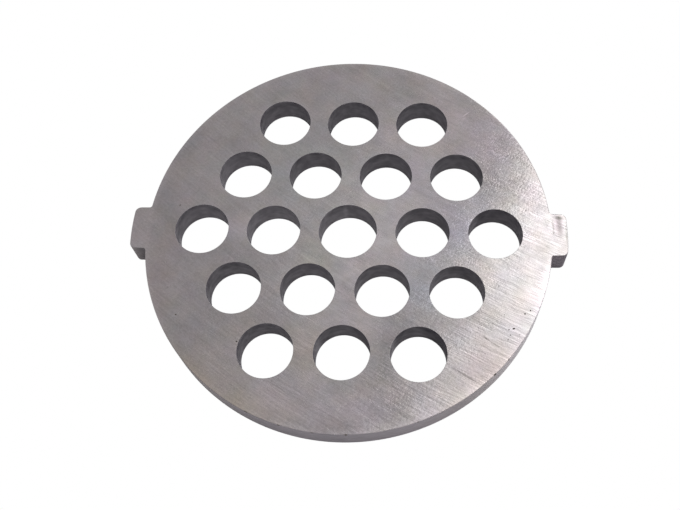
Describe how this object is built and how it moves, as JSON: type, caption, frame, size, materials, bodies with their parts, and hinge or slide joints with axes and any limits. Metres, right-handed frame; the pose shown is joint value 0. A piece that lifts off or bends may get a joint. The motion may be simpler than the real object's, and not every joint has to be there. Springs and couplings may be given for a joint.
{
  "type": "meat grinder plate",
  "caption": "Flat round ground-steel mincing plate with a hexagonal field of round holes, a centre spindle bore and rim lugs that key it in a grinder barrel.",
  "frame": {"origin": "axis of the spindle bore, at the face that the plate lies on", "axes": "+Z along the spindle bore, towards the upper face; +X through the two lugs"},
  "size_m": [0.0604, 0.056, 0.0042],
  "materials": {
    "ground_steel": "surface-ground, with fine arced grinding lines on both faces"
  },
  "bodies": {
    "root": {"grinder_plate": "ground_steel"}
  },
  "joints": []
}
